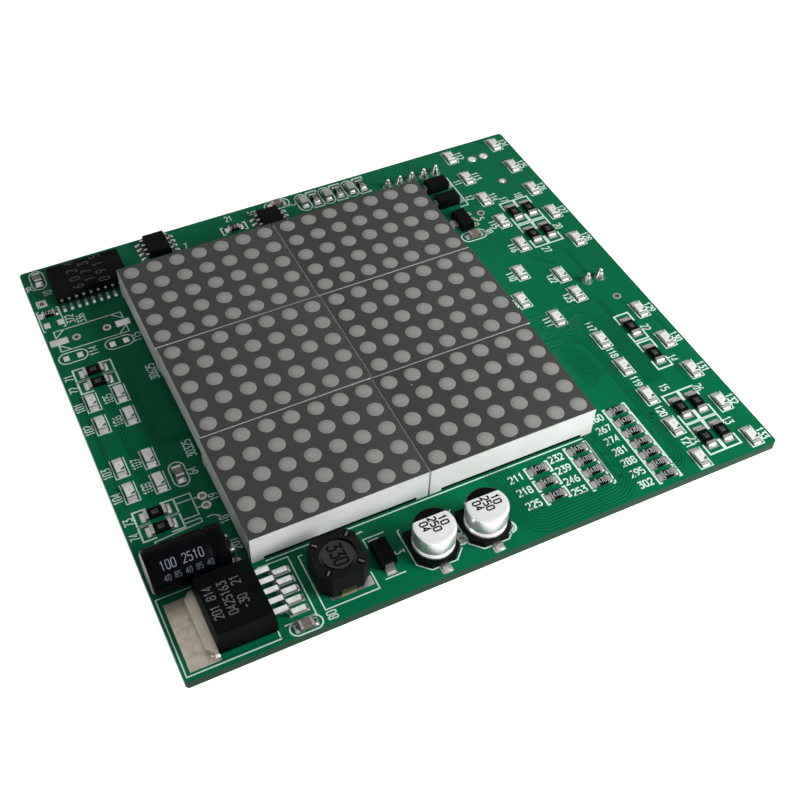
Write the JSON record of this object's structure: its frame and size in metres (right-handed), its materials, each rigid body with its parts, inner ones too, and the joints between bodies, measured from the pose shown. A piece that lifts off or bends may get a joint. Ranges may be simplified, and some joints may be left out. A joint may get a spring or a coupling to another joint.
{
  "type": "dot matrix display",
  "caption": "Dot matrix display module: milky dot panels in white housings on a green driver board with its chips, regulator, capacitors and indicator LEDs.",
  "frame": {"origin": "middle of the board in plan, at the foot of the sockets under the board", "axes": "+Z out of the display's face, +X along the rows of dots, towards the board's LED side, +Y across them, towards the driver chips"},
  "size_m": [0.0958, 0.0856, 0.0119],
  "materials": {
    "board": "satin green solder mask",
    "housing": "satin white moulding",
    "housing_back": "plain potting",
    "display_face": "matt dark grey ink",
    "dots": "milky resin",
    "chip_plastic": "fine matt moulding",
    "base_plastic": "satin",
    "leads": "tinned",
    "regulator_tab": "dull tinned copper",
    "can_sleeve": "shrunk sleeve",
    "bare_can": "bare, satin",
    "bung": "matt",
    "ferrite": "satin dark grey",
    "resistor": "glazed black film",
    "chip_ceramic": "fired",
    "led": "clear resin on white",
    "socket": "plain moulding",
    "solder": "soft solder"
  },
  "bodies": {
    "root": {"capacitor_bung": "bung", "capacitor_can": "can_sleeve", "capacitor_leads": "leads", "chip_capacitors": "chip_ceramic", "circuit_board": "board", "contact_joints": "solder", "diode_bodies": "chip_plastic", "diode_leads": "leads", "display_base_1": "housing_back", "display_base_2": "housing_back", "display_base_3": "housing_back", "display_base_4": "housing_back", "display_base_5": "housing_back", "display_base_6": "housing_back", "display_dots": "dots", "display_face_1": "display_face", "display_face_2": "display_face", "display_face_3": "display_face", "display_face_4": "display_face", "display_face_5": "display_face", "display_face_6": "display_face", "display_housing_1": "housing", "display_housing_2": "housing", "display_housing_3": "housing", "display_housing_4": "housing", "display_housing_5": "housing", "display_housing_6": "housing", "display_joints_1": "solder", "display_joints_2": "solder", "display_joints_3": "solder", "display_joints_4": "solder", "display_joints_5": "solder", "display_joints_6": "solder", "driver_chip": "chip_plastic", "driver_leads": "leads", "indicator_leds": "led", "inductor_clips": "leads", "inductor_core": "ferrite", "inductor_shield": "ferrite", "large_resistors": "resistor", "logic_chips": "chip_plastic", "logic_leads": "leads", "long_socket": "socket", "rear_socket": "socket", "regulator_body": "chip_plastic", "regulator_leads": "leads", "regulator_tab": "regulator_tab", "round_cap_bases": "base_plastic", "round_cap_cans": "bare_can", "round_cap_terminals": "leads", "side_socket": "socket", "small_resistors": "resistor", "transistor_body": "chip_plastic", "transistor_leads": "leads"}
  },
  "joints": []
}
